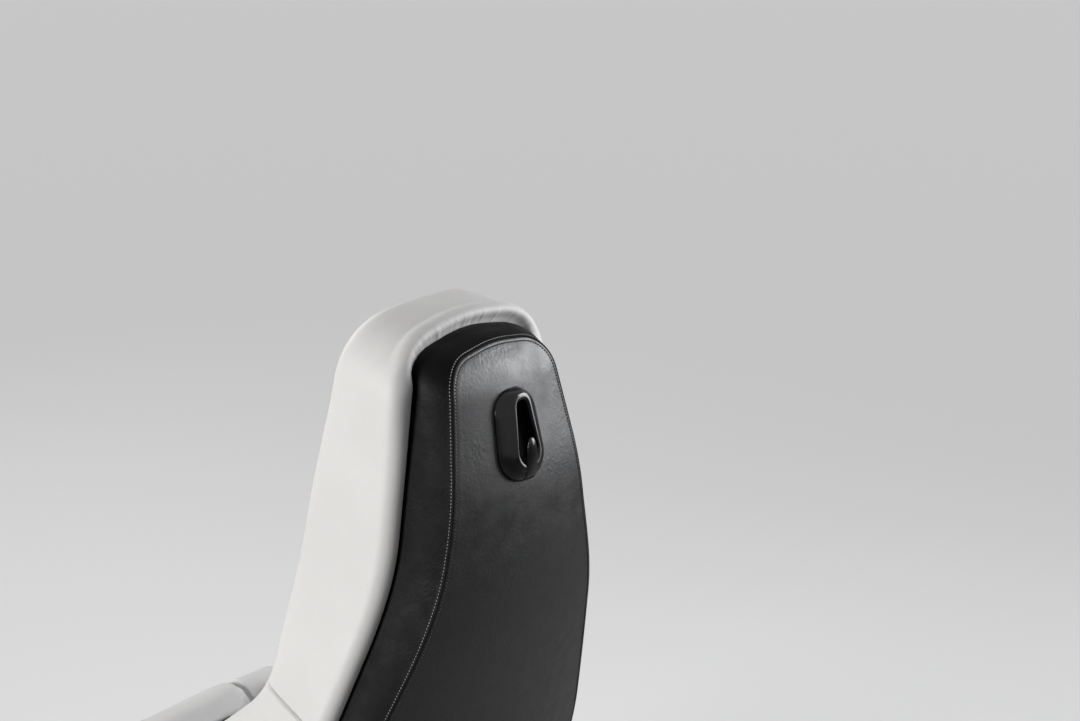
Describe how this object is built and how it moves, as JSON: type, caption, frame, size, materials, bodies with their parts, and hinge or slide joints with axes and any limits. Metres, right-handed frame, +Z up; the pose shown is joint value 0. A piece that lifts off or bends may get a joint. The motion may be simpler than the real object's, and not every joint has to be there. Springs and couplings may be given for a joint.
{
  "type": "roadster bucket seat",
  "caption": "Sports bucket seat with integrated headrest, leather-covered back shell with coat hook, reclining back, height linkage and sliding floor rails.",
  "frame": {"origin": "centre of the floor bolts, on the floor plane", "axes": "the seat faces -Y, +X is the occupant's left, +Z up"},
  "size_m": [0.5278, 0.7793, 1.0334],
  "materials": {
    "white_leather": "smooth satin leather",
    "black_leather": "satin leather, fine grain",
    "black_steel": "satin black coating",
    "plated_steel": "zinc plated",
    "black_plastic": "fine grained",
    "gloss_black": "high gloss"
  },
  "bodies": {
    "rails": {"lower_rail_left": "black_steel", "lower_rail_right": "black_steel", "foot_front_left": "black_steel", "foot_front_right": "black_steel", "foot_rear_left": "black_steel", "foot_rear_right": "black_steel"},
    "sled": {"upper_rail_left": "plated_steel", "upper_rail_right": "plated_steel", "release_bar": "black_steel"},
    "front_links": {"front_link": "black_steel"},
    "rear_links": {"rear_link": "black_steel"},
    "seat": {"side_member_left": "black_steel", "side_member_right": "black_steel", "recliner_pair": "plated_steel", "seat_pan": "black_steel", "rear_cross_tube": "black_steel", "spring_mat": "plated_steel", "seat_cushion": "black_leather", "thigh_roll": "white_leather", "seat_bolster_left": "white_leather", "seat_bolster_right": "white_leather", "side_cover_left": "black_plastic", "side_cover_right": "black_plastic", "height_lever": "black_plastic", "recline_lever": "black_plastic", "buckle_stalk": "black_plastic", "buckle": "black_plastic"},
    "back": {"back_frame": "black_steel", "hood": "white_leather", "back_insert": "black_leather", "head_insert": "black_leather", "back_bolster_left": "white_leather", "back_bolster_right": "white_leather", "back_shell": "black_leather", "rear_panel": "black_leather", "hook_housing": "gloss_black", "hook_tongue": "gloss_black"}
  },
  "joints": [
    {"name": "seat_slide", "type": "slide", "parent": "rails", "child": "sled", "axis": [0, -1, 0], "range_m": [-0.11, 0.11]},
    {"name": "height", "type": "hinge", "parent": "sled", "child": "rear_links", "pos_m": [0, 0.12, 0.094], "axis": [1, 0, 0], "range_deg": [-20, 25]},
    {"name": "front_height", "type": "hinge", "parent": "sled", "child": "front_links", "pos_m": [0, -0.165, 0.094], "axis": [1, 0, 0], "range_deg": [-20, 25]},
    {"name": "seat_level", "type": "hinge", "parent": "rear_links", "child": "seat", "pos_m": [0, 0.18928, 0.134], "axis": [1, 0, 0], "range_deg": [-25, 20]},
    {"name": "recline", "type": "hinge", "parent": "seat", "child": "back", "pos_m": [0, 0.215, 0.24], "axis": [-1, 0, 0], "range_deg": [-8, 35]}
  ],
  "couplings": [
    {"joint": "front_height", "follows": "height", "ratio": 1},
    {"joint": "seat_level", "follows": "height", "ratio": -1}
  ]
}
